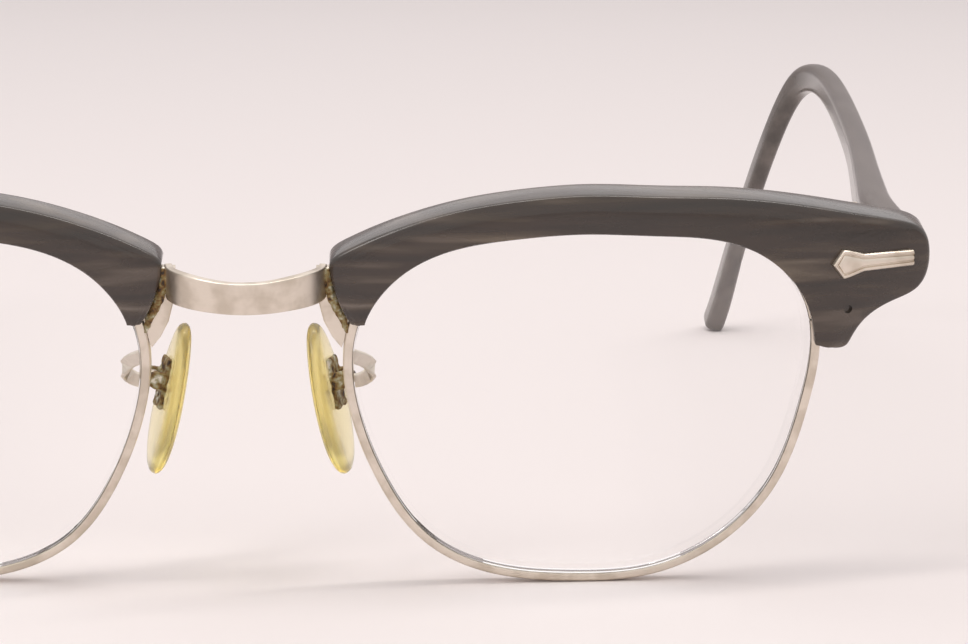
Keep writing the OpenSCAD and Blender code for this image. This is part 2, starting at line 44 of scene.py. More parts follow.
# Lenses, and the curve and lean of the front
LENS_W = 48.0
LENS_T = 2.0
BRIDGE_GAP = 20.5
EYE_X = (LENS_W + BRIDGE_GAP) / 2
BASE_R = 130.0
WRAP = math.radians(3.0)
LEAN = math.radians(10.4)
# The middle of the glasses' depth and the lowest point of a rim, as the source works them out
DEPTH_MID = 66.818
RIM_LOW = -19.5012

# Eyewires, with the angle at which they open
WIRE_WALL = 0.55
WIRE_LIP = 0.45
WIRE_DEPTH = 2.0
GROOVE_W = 1.1
SPLIT_A = 20.5

# Brows
BROW_FRONT = 2.1
BROW_BACK = 1.9
BROW_CROWN = 0.25
BROW_EDGE = 0.45
LIP_NOSE = 0.9
LIP_OUTER = 0.1

# Bridge, with the height and half length of the strap and the depth of its feet
STRAP_H = 3.3
STRAP_T = 0.8
STRAP_BOW = 4.6
STRAP_DIP = 0.4
STRAP_HALF = 7.85
STRAP_Z = 14
FOOT_T = 1.1
FOOT_Y = 1.1743

# Plaques
PLAQUE_L = 8.9
PLAQUE_HEAD = 3.0
PLAQUE_BAR = 1.6
PLAQUE_T = 0.7
PLAQUE_SHIFT = -1.05
PLAQUE_DROP = -0.2

# Hinge pin of the right temple, over the floor and inside the front
PIN = Vector((63.1, -60.0062, 36.002))
PIN_INSIDE = (EYE_X + LENS_W / 2 + 4.85, 9.6786, 15)

# Temples, from the pin: the start of the plastic, the mitre behind the brow, the arm and the hook
RISE = math.radians(2.5)
PIN_IN = 3.45
BUTT_T = 3.7
BUTT_H = 6.2
BUTT_Y = -1.4512
MITRE = math.radians(15.3406)
ARM_L = 100.0
ARM_BOW = 8.4
ARM_T = 2.8
ARM_H = 4.0
HOOK_REACH = 31.8
HOOK_IN = 11.2
HOOK_H = 4.4
HOOK_DROP = -41.1578
TUNNEL_R = 0.65

# Nose pads, with their angles in degrees and their place from the pin that they rock on
PAD_H = 16.3
PAD_W = 8.25
PAD_T = 1.7
PAD_SPLAY = 15.0
PAD_TILT = 12.5
PAD_LEAN = 14.0
PAD_BACK = 1.28
PAD_DROP = -1.9

# Gap between pieces that touch
SEAT = 0.03
# Angle in degrees past which two faces meet in a sharp edge
SHARP = 35

# Control radii of a lens, one for each step of 22.5 degrees from its outer side upwards
FORMER = (22.8, 26.4, 25.1, 20.3, 19.6, 20.4, 24.2, 25.8, 23, 21.5, 21.7, 20, 18.9, 20.5, 21.7, 22.5)


# Curves that the part's source uses


def cubic_weights(f):
    """What each of four control values gives to a smooth curve, at a share f of one step."""
    second = 3 * f**3 - 6 * f * f + 4
    third = 3 * f + 3 * f * f + 1 - 3 * f**3
    return (1 - f) ** 3 / 6, second / 6, third / 6, f**3 / 6


def ring_at(values, k):
    """A closed curve through a ring of control values, one step for each value."""
    i = math.floor(k)
    weights = cubic_weights(k - i)
    return sum(weights[j] * values[(i + j - 1) % len(values)] for j in range(4))


def path_at(points, s):
    """An open curve that starts on the first control value at s = 0 and ends on the last at s = 1."""
    k = s * (len(points) + 1) - 1
    i = min(math.floor(k), len(points) - 1)
    weights = cubic_weights(k - i)
    last = len(points) - 1
    return sum(weights[j] * np.array(points[max(0, min(last, i + j - 1))], float) for j in range(4))


def unit(v):
    return v / np.linalg.norm(v)


def lens_edge(a):
    """The place on the edge of a lens at an angle, from its middle."""
    r = ring_at(FORMER, (a % 360) / 22.5)
    return np.array((r * math.cos(math.radians(a)), r * math.sin(math.radians(a))))


def edge_normal(a):
    t = lens_edge(a + 1) - lens_edge(a - 1)
    return unit(np.array((t[1], -t[0])))


def beside(a, out):
    """The place that lies so far out from the edge of a lens."""
    return lens_edge(a) + out * edge_normal(a)


def shell(p):
    """Depth of the curve of the front at a place seen from the middle of the lens."""
    return (p[0] ** 2 + p[1] ** 2) / (2 * BASE_R) + p[0] * math.tan(WRAP)


def heading(points, s):
    """The way that an open curve runs."""
    return unit(path_at(points, min(1, s + 0.01))[:3] - path_at(points, max(0, s - 0.01))[:3])


FRONT = Matrix.Translation((0, -DEPTH_MID, -RIM_LOW)) @ Matrix.Rotation(LEAN, 4, "X")
TEMPLE = Matrix.Translation(PIN) @ Matrix.Rotation(RISE, 4, "X")


def on_front(p):
    """Stands pieces on the curve of the front, with y square to it."""
    return (
        FRONT
        @ Matrix.Translation((EYE_X + p[0], shell(p), p[1]))
        @ Matrix.Rotation(math.atan(p[0] / BASE_R + math.tan(WRAP)), 4, "Z")
        @ Matrix.Rotation(-math.atan(p[1] / BASE_R), 4, "X")
    )


# The pin of the right pad, inside the front. On the pad, x runs from the pin towards the nose
PAD_PIN = (9.95, 6.3, 1.0)
PAD = (
    FRONT
    @ Matrix.Translation(PAD_PIN)
    @ Matrix.Rotation(math.radians(-PAD_LEAN), 4, "X")
    @ Matrix.Rotation(math.radians(-PAD_TILT), 4, "Y")
    @ Matrix.Rotation(math.radians(180 - PAD_SPLAY), 4, "Z")
)


# Making meshes


def put(name, data):
    """A new object in the scene."""
    piece = bpy.data.objects.new(name, data)
    bpy.context.scene.collection.objects.link(piece)
    return piece


def settle(piece):
    """Replaces a piece's modifiers with the plain mesh that they make."""
    bpy.context.view_layer.update()
    graph = bpy.context.evaluated_depsgraph_get()
    mesh = bpy.data.meshes.new_from_object(piece.evaluated_get(graph))
    piece.modifiers.clear()
    piece.data = mesh
    return mesh


def finish_mesh(name, mesh, material=None, sharp=SHARP):
    """Merges doubles, turns the faces outwards and shades them smooth up to an angle."""
    work = bmesh.new()
    work.from_mesh(mesh)
    bmesh.ops.remove_doubles(work, verts=work.verts, dist=1e-7)
    bmesh.ops.recalc_face_normals(work, faces=work.faces)
    work.to_mesh(mesh)
    work.free()
    mesh.shade_smooth()
    mesh.set_sharp_from_angle(angle=math.radians(sharp))
    piece = put(name, mesh)
    if material:
        piece.data.materials.clear()
        piece.data.materials.append(material)
    return piece


def skin(name, rings, place, material=None, tips=(), sharp=SHARP):
    """A solid skin over a row of rings in millimetres, closed by a flat face or a point at each end."""
    n = len(rings[0])
    m = len(rings)
    points = [p for ring in rings for p in ring] + list(tips)
    faces = [
        (i * n + j, i * n + (j + 1) % n, (i + 1) * n + (j + 1) % n, (i + 1) * n + j)
        for i in range(m - 1)
        for j in range(n)
    ]
    if len(tips) == 2:
        faces += [(m * n, j, (j + 1) % n) for j in range(n)]
        faces += [(m * n + 1, (m - 1) * n + j, (m - 1) * n + (j + 1) % n) for j in range(n)]
    else:
        faces += [tuple(range(n)), tuple(range((m - 1) * n, m * n))]
    mesh = bpy.data.meshes.new(name)
    mesh.from_pydata([tuple((place @ Vector(p)) / 1000) for p in points], [], faces)
    return finish_mesh(name, mesh, material, sharp)


def block(name, low, high, place, edge=0.1):
    """A block between two corners, with its edges rounded."""
    work = bmesh.new()
    bmesh.ops.create_cube(work, size=1)
    for v in work.verts:
        v.co = Vector(tuple(low[k] + (v.co[k] + 0.5) * (high[k] - low[k]) for k in range(3)))
    if edge:
        bmesh.ops.bevel(work, geom=work.edges, offset=edge, segments=3, profile=0.5, affect="EDGES")
    work.transform(Matrix.Scale(0.001, 4) @ place)
    mesh = bpy.data.meshes.new(name)
    work.to_mesh(mesh)
    work.free()
    return finish_mesh(name, mesh)


def rod(name, r, low, high, place, sides=48):
    """A round rod along z from one height to another."""
    turns = [2 * math.pi * k / sides for k in range(sides)]
    ring = [(r * math.cos(w), r * math.sin(w)) for w in turns]
    return skin(name, [[(x, y, z) for x, y in ring] for z in (low, high)], place)


def plate(name, outline, low, high, place):
    """A flat plate between two depths y, from its outline in x and z."""
    return skin(name, [[(x, y, z) for x, z in outline] for y in (low, high)], place)


def join(piece, others):
    """Adds other pieces' meshes to a piece."""
    work = bmesh.new()
    work.from_mesh(piece.data)
    for other in others:
        work.from_mesh(other.data)
        bpy.data.objects.remove(other)
    work.to_mesh(piece.data)
    work.free()
    piece.data.set_sharp_from_angle(angle=math.radians(SHARP))
    return piece


def cut(piece, tools):
    """Cuts tools out of a piece and keeps the result as a plain mesh."""
    for tool in tools:
        step = piece.modifiers.new("cut", "BOOLEAN")
        step.operation = "DIFFERENCE"
        step.solver = "EXACT"
        step.object = tool
    mesh = settle(piece)
    for tool in tools:
        bpy.data.objects.remove(tool)
    mesh.set_sharp_from_angle(angle=math.radians(SHARP))
    return piece


def mirrored(piece, name):
    """The same piece for the left side, with its faces turned back outwards."""
    mesh = piece.data.copy()
    mesh.name = name
    mesh.transform(Matrix.Scale(-1, 4, (1, 0, 0)))
    mesh.flip_normals()
    return put(name, mesh)


def fit_out(piece, part, body, slot, *cad_nodes):
    """Puts a right piece and its left twin on their bodies, in place of the named CAD nodes."""
    piece.name = "right_" + part
    for side, one in (("right", piece), ("left", mirrored(piece, "left_" + part))):
        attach(one, body.format(side=side))
        if cad_nodes:
            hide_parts(*[f"{side}_{n}" for n in cad_nodes])


def filleted(corners, steps=5):
    """A closed outline with a round at each corner, from (x, y, radius)."""
    out = []
    n = len(corners)
    for i in range(n):
        here = np.array(corners[i][:2], float)
        back = np.array(corners[i - 1][:2], float) - here
        on = np.array(corners[(i + 1) % n][:2], float) - here
        room_back, room_on = np.linalg.norm(back), np.linalg.norm(on)
        back, on = back / room_back, on / room_on
        half = math.acos(max(-1, min(1, float(back @ on)))) / 2
        reach = min(corners[i][2] / max(math.tan(half), 0.05), room_back * 0.48, room_on * 0.48)
        start, end = here + reach * back, here + reach * on
        for k in range(steps + 1):
            t = k / steps
            out.append((1 - t) ** 2 * start + 2 * t * (1 - t) * here + t * t * end)
    return out


# Materials


def colour(code):
    """sRGB hex to linear, opaque."""
    out = []
    for k in (1, 3, 5):
        v = int(code[k : k + 2], 16) / 255
        out.append(v / 12.92 if v <= 0.04045 else ((v + 0.055) / 1.055) ** 2.4)
    return (*out, 1.0)


def set_stops(scale, stops):
    """Gives a colour ramp its points, each with its position and a colour code or a grey."""
    scale.interpolation = "EASE"
    points = scale.elements
    while len(points) < len(stops):
        points.new(0.5)
    for point, (at, code) in zip(points, stops):
        point.position = at
        point.color = colour(code) if isinstance(code, str) else (code, code, code, 1)


def add(tree, kind, settings=None, **links):
    """Adds a node, sets its properties and inputs, and links inputs to other nodes' outputs."""
    node = tree.nodes.new(kind)
    for key, value in (settings or {}).items():
        if key == "stops":
            set_stops(node.color_ramp, value)
        elif isinstance(key, str) and hasattr(node, key):
            setattr(node, key, value)
        else:
            node.inputs[key].default_value = value
    for key, source in links.items():
        numbered = key[0] == "i" and key[1:].isdigit()
        socket = node.inputs[int(key[1:])] if numbered else node.inputs[key.replace("_", " ")]
        tree.links.new(source, socket)
    return node


def surface(name, **constants):
    """A material with its shader; constants go on the shader's own sockets."""
    material = bpy.data.materials.new(name)
    material.use_nodes = True
    tree = material.node_tree
    shader = tree.nodes["Principled BSDF"]
    for key, value in constants.items():
        shader.inputs[key.replace("_", " ")].default_value = value
    return material, tree, shader


def coordinates(tree, turn=(0, 0, 0), scale=(1, 1, 1)):
    """Object coordinates in millimetres, turned and stretched."""
    place = add(tree, "ShaderNodeTexCoord")
    stretch = tuple(1000 * s for s in scale)
    return add(
        tree,
        "ShaderNodeMapping",
        {"Rotation": tuple(math.radians(t) for t in turn), "Scale": stretch},
        Vector=place.outputs["Object"],
    ).outputs[0]


def polished_nickel_silver():
    """Rolled nickel silver, polished and worn by years of handling.

    It gives the eye a pale warm metal with soft dull patches and fine scratches.
    """
    material, tree, shader = surface("polished_nickel_silver", Metallic=1.0)
    # Patches about 3 mm across
    patches = add(
        tree, "ShaderNodeTexNoise", {"Scale": 0.35, "Detail": 3.0}, Vector=coordinates(tree)
    ).outputs[0]
    tone = add(tree, "ShaderNodeValToRGB", {"stops": [(0.35, "#CDC2B3"), (0.6, "#E2D8CB")]}, Fac=patches)
    tree.links.new(tone.outputs[0], shader.inputs["Base Color"])
    # Fine scratches about 0.15 mm apart, drawn long so that they show
    lines = add(
        tree, "ShaderNodeTexNoise", {"Scale": 1.0, "Detail": 2.0},
        Vector=coordinates(tree, (0, 30, 0), (0.4, 2, 6)),
    ).outputs[0]
    dull = add(tree, "ShaderNodeValToRGB", {"stops": [(0.3, 0.32), (0.7, 0.44)]}, Fac=lines)
    tree.links.new(dull.outputs[0], shader.inputs["Roughness"])
    relief = add(tree, "ShaderNodeBump", {"Strength": 0.02, "Distance": 0.00005}, Height=lines)
    tree.links.new(relief.outputs[0], shader.inputs["Normal"])
    return material


def corroded_nickel_silver():
    """Nickel silver that skin and salt have etched.

    It gives the eye a dark brown and green crust with some bare metal left.
    """
    material, tree, shader = surface("corroded_nickel_silver")
    # Crust in spots about 0.8 mm across
    crust = add(
        tree, "ShaderNodeTexNoise", {"Scale": 1.3, "Detail": 5.0}, Vector=coordinates(tree)
    ).outputs[0]
    browns = [(0.34, "#33251A"), (0.44, "#7A5A2E"), (0.52, "#958456"), (0.6, "#ABA68A"), (0.68, "#DAD4C6")]
    tone = add(tree, "ShaderNodeValToRGB", {"stops": browns}, Fac=crust)
    tree.links.new(tone.outputs[0], shader.inputs["Base Color"])
    bare = add(tree, "ShaderNodeValToRGB", {"stops": [(0.5, 0.0), (0.7, 0.9)]}, Fac=crust)
    tree.links.new(bare.outputs[0], shader.inputs["Metallic"])
    dull = add(tree, "ShaderNodeValToRGB", {"stops": [(0.4, 0.7), (0.7, 0.35)]}, Fac=crust)
    tree.links.new(dull.outputs[0], shader.inputs["Roughness"])
    relief = add(tree, "ShaderNodeBump", {"Strength": 0.5, "Distance": 0.0001}, Height=crust)
    tree.links.new(relief.outputs[0], shader.inputs["Normal"])
    return material


def brow_acetate():
    """Cellulose acetate, pressed with a grain like smoked wood and tumbled.

    It gives the eye dark brown with paler slanting streaks and a worn shine.
    """
    material, tree, shader = surface("smoked_acetate", IOR=1.48, Coat_Weight=0.7, Coat_Roughness=0.12)
    # Streaks about 15 mm long and 1 to 3 mm wide, falling slightly outwards
    streaks = add(
        tree, "ShaderNodeTexNoise", {"Scale": 1.0, "Detail": 1.5, "Roughness": 0.4, "Distortion": 0.2},
        Vector=coordinates(tree, (0, 7, 0), (0.06, 0.3, 0.8)),
    ).outputs[0]
    smoke = [(0.3, "#281D15"), (0.5, "#35271E"), (0.57, "#413429"), (0.65, "#54473D"), (0.75, "#6B5F55")]
    grain = add(tree, "ShaderNodeValToRGB", {"stops": smoke}, Fac=streaks)
    # Warmer clouds about 12 mm across
    cloud = add(
        tree, "ShaderNodeTexNoise", {"Scale": 0.08, "Detail": 1.0}, Vector=coordinates(tree)
    ).outputs[0]
    warmth = add(tree, "ShaderNodeValToRGB", {"stops": [(0.35, "#FFFFFF"), (0.7, "#F2EEDC")]}, Fac=cloud)
    tone = add(
        tree, "ShaderNodeMix", {"data_type": "RGBA", "blend_type": "MULTIPLY"},
        i6=grain.outputs[0], i7=warmth.outputs[0],
    )
    tone.inputs[0].default_value = 1.0
    tree.links.new(tone.outputs[2], shader.inputs["Base Color"])
    # Rubbed lines 10 mm long, duller and shinier by turns
    wear = add(
        tree, "ShaderNodeTexNoise", {"Scale": 1.0, "Detail": 2.0},
        Vector=coordinates(tree, (0, 0, 0), (0.1, 1.2, 0.5)),
    ).outputs[0]
    dull = add(tree, "ShaderNodeValToRGB", {"stops": [(0.3, 0.2), (0.7, 0.33)]}, Fac=wear)
    tree.links.new(dull.outputs[0], shader.inputs["Roughness"])
    return material


def temple_acetate():
    """Plain grey cellulose acetate, drawn over a steel core and hand polished.

    It gives the eye an even warm grey with a soft shine.
    """
    material, tree, shader = surface("grey_acetate", IOR=1.48, Coat_Weight=0.5, Coat_Roughness=0.12)
    # Faint clouds about 3 mm wide and 20 mm long
    cloud = add(
        tree, "ShaderNodeTexNoise", {"Scale": 1.0, "Detail": 3.0},
        Vector=coordinates(tree, (0, 0, 0), (0.3, 0.05, 0.3)),
    ).outputs[0]
    tone = add(tree, "ShaderNodeValToRGB", {"stops": [(0.3, "#4B443F"), (0.7, "#69605A")]}, Fac=cloud)
    tree.links.new(tone.outputs[0], shader.inputs["Base Color"])
    shader.inputs["Roughness"].default_value = 0.22
    return material


def amber_acetate():
    """Clear cellulose acetate yellowed by age.

    It gives the eye pale straw through its thickness and amber where the light runs along it.
    """
    material, tree, shader = surface("amber_acetate", IOR=1.48, Roughness=0.2, Transmission_Weight=0.92)
    shader.inputs["Base Color"].default_value = colour("#FFF9DD")
    # The yellow is in the depth of the plastic: about half of the blue goes in each 6 mm
    depth = add(tree, "ShaderNodeVolumeAbsorption", {"Density": 115.0, "Color": (1.0, 0.88, 0.05, 1)})
    tree.links.new(depth.outputs[0], tree.nodes["Material Output"].inputs["Volume"])
    return material


def lens_glass():
    """Ground and polished crown glass: clear, and light passes it without a dark shadow."""
    material, tree, shader = surface("crown_glass", IOR=1.52, Roughness=0.0, Transmission_Weight=1.0)
    shader.inputs["Base Color"].default_value = colour("#FFFFFF")
    clear = add(tree, "ShaderNodeBsdfTransparent", {"Color": colour("#F6F8F7")})
    ray = add(tree, "ShaderNodeLightPath")
    mix = add(
        tree, "ShaderNodeMixShader",
        i0=ray.outputs["Is Shadow Ray"], i1=shader.outputs[0], i2=clear.outputs[0],
    )
    tree.links.new(mix.outputs[0], tree.nodes["Material Output"].inputs["Surface"])
    return material


METAL = polished_nickel_silver()
CRUST = corroded_nickel_silver()
BROW = brow_acetate()
ARM = temple_acetate()
AMBER = amber_acetate()
GLASS = lens_glass()

# The pieces that stay as the CAD has them, such as the hinges and the pad arms, are metal
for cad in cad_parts.values():
    cad.data.materials.clear()
    cad.data.materials.append(METAL)


# Eyewires

# The closing block's two halves, which the closing screw pulls together
BLOCK_W = 1.9
BLOCK_FRONT = -0.9
BLOCK_BACK = 1.2
BLOCK_LOW = -1.8
BLOCK_TOP = 2.2
BLOCK_SPLIT = 0.06
BLOCK_AT = beside(SPLIT_A, WIRE_WALL + BLOCK_W / 2 - 0.15)
# A brow screw goes through the lug this far outwards of the block's middle and above it
LUG = (1.9, 1.6)


def wire_section():
    """The section of an eyewire, with a groove for the lens and a rounded outer side."""
    lip, wall, depth, groove = -WIRE_LIP, WIRE_WALL, WIRE_DEPTH / 2, GROOVE_W / 2
    return filleted([
        (lip, groove, 0.05), (lip, depth, 0.18), (wall, depth, 0.42), (wall, -depth, 0.42),
        (lip, -depth, 0.18), (lip, -groove, 0.05), (0, 0, 0.05),
    ])


def eyewire():
    """The wire runs round the lens from one half of the closing block to the other."""
    section = wire_section()
    rings = []
    for i in range(289):
        a = SPLIT_A + 0.25 + 359.5 * i / 288
        depth = shell(lens_edge(a))
        ring = []
        for q in section:
            p = beside(a, q[0])
            ring.append((EYE_X + p[0], depth + q[1], p[1]))
        rings.append(ring)
    wire = skin("wire", rings, FRONT, METAL)
    place = on_front(BLOCK_AT)
    side = BLOCK_W / 2
    closing = [
        block("upper", (-side, BLOCK_FRONT, BLOCK_SPLIT), (side, BLOCK_BACK, BLOCK_TOP), place),
        block("lower", (-side, BLOCK_FRONT, BLOCK_LOW), (side, BLOCK_BACK, -BLOCK_SPLIT), place),
        block("lug", (0.85, 0, 0.5), (2.95, 0.8, 2.7), place),
    ]
    return join(wire, closing)


fit_out(eyewire(), "rim_wire", "front", "frame_metal", "eyewire")


# Lenses


def lens():
    """Both faces follow the curve of the front, with a bevelled edge in the groove."""
    half = LENS_T / 2
    tongue = GROOVE_W / 2 - 0.1
    bevel = WIRE_LIP + 0.1

    def ring(share, inset, back, tongued=False):
        out = []
        for i in range(192):
            a = 360 * i / 192
            p = share * beside(a, -inset)
            out.append((EYE_X + p[0], shell(lens_edge(a) if tongued else p) + back, p[1]))
        return out

    shares = [0.15 * k for k in range(1, 7)]
    rings = [ring(s, bevel, -half) for s in (*shares, 1)]
    rings += [ring(1, bevel, -tongue, True), ring(1, 0.06, 0, True), ring(1, bevel, tongue, True)]
    rings += [ring(s, bevel, half) for s in (1, *reversed(shares))]
    return skin("glass", rings, FRONT, GLASS, tips=[(EYE_X, -half, 0), (EYE_X, half, 0)], sharp=25)


fit_out(lens(), "ground_glass", "front", "lens_glass", "lens")


# Brows

# Each rib starts on the lens edge at an angle and ends so far outwards and upwards from it
BROW_RIBS = [
    (156.4, -0.6, -0.3), (155.2, -1.4, 0.0), (152, -2.9, 0.5), (148, -4.5, 1.1), (145, -5.6, 1.6),
    (142.5, -5.8, 1.7), (139, -5.2, 1.7), (133.5, -4.1, 2), (126, -2.3, 2.6), (114, -0.9, 3.2),
    (100, -0.5, 3.3), (82, -0.2, 3.5), (65, 1.1, 3.4), (50.5, 2.6, 3.65), (41.5, 5.6, 4.2),
    (36, 9.5, 4.4), (33.3, 12.8, 4.4), (31.8, 13.8, 3.6), (30.3, 13.8, 2.2), (28.7, 13.3, 0.7),
    (27, 11.9, -0.5), (25, 8.8, -0.3), (22, 5.8, -0.3), (19, 4.2, -0.6), (17, 3.6, -0.85),
    (15.9, 3.1, -0.9), (15.2, 2.2, -0.55),
]
# The middle of the broad outer end, which holds the plaque and the hinge
LOBE = (LENS_W / 2 + 6, 15.0)
# A small pit in the face, below the plaque
DIMPLE = (26.7, 10.0)


def brow_section(s):
    """A section across a brow, with a swelling front face and a step behind for the eyewire."""
    a, across, up = path_at(BROW_RIBS, s)
    lap = LIP_NOSE + (LIP_OUTER - LIP_NOSE) * s
    root = beside(a, -lap)
    end = lens_edge(a) + np.array((across, up))
    length = float(np.linalg.norm(end - root))
    away = (end - root) / length
    step = min((lap + WIRE_WALL + SEAT) / float(away @ edge_normal(a)), length - 0.75)
    face, back = -BROW_FRONT, BROW_BACK
    lip = -WIRE_DEPTH / 2 - SEAT
    swell = min(BROW_EDGE, length / 4)
    front = [(0, face, 0.35)]
    for k in range(1, 12):
        t = k / 12
        bulge = BROW_CROWN * (1 - (2 * t - 1) ** 2)
        front.append((swell + (length - 2 * swell) * t, face - bulge, 0.02))
    behind = [(length, face, 0.5), (length, back, 0.4), (step, back, 0.12), (step, lip, 0.02)]
    out = []
    for q in filleted([(0, lip, 0.08), *front, *behind], 3):
        p = root + q[0] * away
        out.append((EYE_X + p[0], shell(p) + q[1], p[1]))
    return out


def brow():
    """The acetate, with a dimple and the plaque's seat in front and the pockets behind.

    The pockets take the foot of the bridge, the closing block, its lug and the leaf of the hinge.
    """
    piece = skin("acetate", [brow_section(i / 260) for i in range(261)], FRONT, BROW)
    lip_y = FOOT_Y - FOOT_T / 2 - SEAT
    pocket = [(-30, 15.5), (-30, 4), (-21, 4), (-21, 10.4)]
    pocket += [tuple(beside(a, WIRE_WALL + 2 * SEAT)) for a in range(156, 141, -2)]
    pocket += [tuple(beside(142, WIRE_WALL + SEAT) + np.array((0.2, 0.6)))]
    place = on_front(BLOCK_AT)
    at_lobe = on_front(LOBE)
    at_dimple = on_front(DIMPLE) @ Matrix.Translation((0, -BROW_FRONT - 0.8 * BROW_CROWN, 0))
    at_plaque = at_lobe @ Matrix.Translation((PLAQUE_SHIFT, 0, PLAQUE_DROP))
    cuts = [
        rod("dimple", 0.45, -1, 0.42, at_dimple @ Matrix.Rotation(-math.pi / 2, 4, "X"), 24),
        plate("foot_pocket", [(EYE_X + x, z) for x, z in pocket], lip_y, lip_y + 8, FRONT),
        block("block_pocket", (-1.95, -1, -1.9), (1.05, 7, 2.9), place, 0),
        block("lug_pocket", (0, -0.1, 0.4), (3.05, 8, 2.8), place, 0),
        block("leaf_seat", (-3.63, 1.09, -2.7), (3.63, 5, 2.4), at_lobe, 0),
        plate("plaque_seat", plaque_outline(SEAT), -4.05, -2.05, at_plaque),
    ]
    return cut(piece, cuts)


# Plaques


def plaque_outline(grow):
    """An arrow head that points inwards, with a bar behind it."""
    long, head, bar = PLAQUE_L, PLAQUE_HEAD / 2, PLAQUE_BAR / 2
    half = [
        (-long * 0.37, head + grow), (-long * 0.3, head * 0.93 + grow), (-long * 0.12, bar + 0.1 + grow),
        (long / 2 + max(grow, 0), bar + grow),
    ]
    return [(-long / 2 - grow, 0), *half, *[(x, -z) for x, z in reversed(half)]]


def plaque():
    """A stamped plaque: a raised border, an engraved line inside it and a slightly domed middle."""
    place = on_front(LOBE) @ Matrix.Translation((PLAQUE_SHIFT, -(BROW_FRONT - 0.05), PLAQUE_DROP))
    t = PLAQUE_T
    # How far each layer of the relief stands in from the outline, and its depth
    layers = [
        (0, 0), (0, 0.12 - t), (-0.1, -t), (-0.34, -t), (-0.42, 0.16 - t), (-0.5, 0.16 - t),
        (-0.58, 0.04 - t), (-0.68, -t),
    ]
    rings = []
    for grow, y in layers:
        corners = [(x, z, 0.12) for x, z in plaque_outline(grow)]
        rings.append([(q[0], y, q[1]) for q in filleted(corners, 4)])
    piece = skin("plaque", rings, place, METAL, sharp=28)
    backwards = Matrix.Rotation(-math.pi / 2, 4, "X")
    spots = [on_front(LOBE) @ Matrix.Translation((x, -2.05, 0)) @ backwards for x in (-2.4, 2.2)]
    pins = [rod("pin", 0.6, 0, 3.9, spot) for spot in spots]
    return join(piece, pins)


fit_out(brow(), "acetate_brow", "front", "brow_plastic", "brow")
fit_out(plaque(), "stamped_plaque", "front", "frame_metal", "front_plaque")


# Temples


def temple_sections():
    """Place from the hinge pin, half thickness and half height of each control section."""
    t, h, back, out, drop = ARM_T / 2, ARM_H / 2, ARM_L + HOOK_REACH, PIN_IN + ARM_BOW, HOOK_DROP
    return [
        (PIN_IN, BUTT_Y, 0, BUTT_T / 2, BUTT_H / 2),
        (PIN_IN, 3, 0, BUTT_T / 2, BUTT_H / 2),
        (PIN_IN, 10, 0, BUTT_T / 2, BUTT_H / 2),
        (PIN_IN + ARM_BOW * 0.12, ARM_L * 0.18, 0, BUTT_T / 2 - 0.15, BUTT_H / 2 - 0.25),
        (PIN_IN + ARM_BOW * 0.31, ARM_L * 0.32, 0, t + 0.1, (BUTT_H + ARM_H) / 4),
        (PIN_IN + ARM_BOW * 0.58, ARM_L * 0.5, 0, t, h + 0.1),
        (PIN_IN + ARM_BOW * 0.81, ARM_L * 0.72, 0, t, h),
        (out - 0.1, ARM_L * 0.92, 0, t, h),
        (out, ARM_L * 1.067, 0.4, t, h),
        (out - HOOK_IN * 0.2, back - 17.2, drop * 0.03, t * 0.95, h * 0.95),
        (out - HOOK_IN * 0.46, back - 14.2, drop * 0.25, t * 0.9, h * 0.9),
        (out - HOOK_IN * 0.6, back - 8.8, drop * 0.453, t * 0.85, h * 0.9),
        (out - HOOK_IN * 0.8, back - 4.7, drop * 0.71, t * 0.9, h),
        (out - HOOK_IN * 0.9, back - 1.3, drop * 0.9, t, HOOK_H / 2),
        (out - HOOK_IN, back, drop, t, HOOK_H / 2),
    ]


def temple():
    """The section has well rounded corners, starts on the mitre behind the brow and ends in a round tip."""
    path = temple_sections()

    def frame_at(s):
        c, t = path_at(path, s), heading(path, s)
        u = unit(np.array((1, 0, 0)) - t[0] * t)
        return c, u, np.cross(u, t)

    def outer(s, shrink=1.0):
        c, u, v = frame_at(s)
        x, y = c[3] * shrink, c[4] * shrink
        r = min(x, y) * (0.6 + 0.35 * min(1, s / 0.4))
        slope = math.tan(MITRE) if s == 0 else 0
        section = filleted([(x, y, r), (-x, y, r), (-x, -y, r), (x, -y, r)], 8)
        ring = []
        for q in section:
            mitre = np.array((0, slope * (q[0] + BUTT_T / 2), 0))
            ring.append(tuple(c[:3] + q[0] * u + q[1] * v + mitre))
        return ring

    rings = [outer(0, 0.93), outer(0)] + [outer(0.06 + 0.87 * i / 200) for i in range(201)]
    for k in range(1, 16):
        part = k / 16
        rings.append(outer(0.93 + 0.055 * part, math.sqrt(1 - part**2.2)))
    rings[0] = [tuple(np.array(p) - np.array((0, 0.08, 0))) for p in rings[0]]
    end = path_at(path, 0.988)[:3] + 0.2 * heading(path, 0.98)
    start = np.mean([np.array(p) for p in rings[0]], axis=0)
    piece = skin("temple", rings, TEMPLE, ARM, tips=[tuple(start), tuple(end)])
    # The tunnel for the steel core
    tunnel = []
    turns = [math.radians(15 * k) for k in range(24)]
    for i in range(81):
        c, u, v = frame_at(i / 80 * 0.9)
        push = np.array((0, -1.6 if i == 0 else 0, 0))
        tunnel.append([tuple(c[:3] + TUNNEL_R * (math.cos(w) * u + math.sin(w) * v) + push) for w in turns])
    return cut(piece, [skin("tunnel", tunnel, TEMPLE)])


fit_out(temple(), "acetate_temple", "{side}_temple_arm", "temple_plastic", "temple")


# Bridge


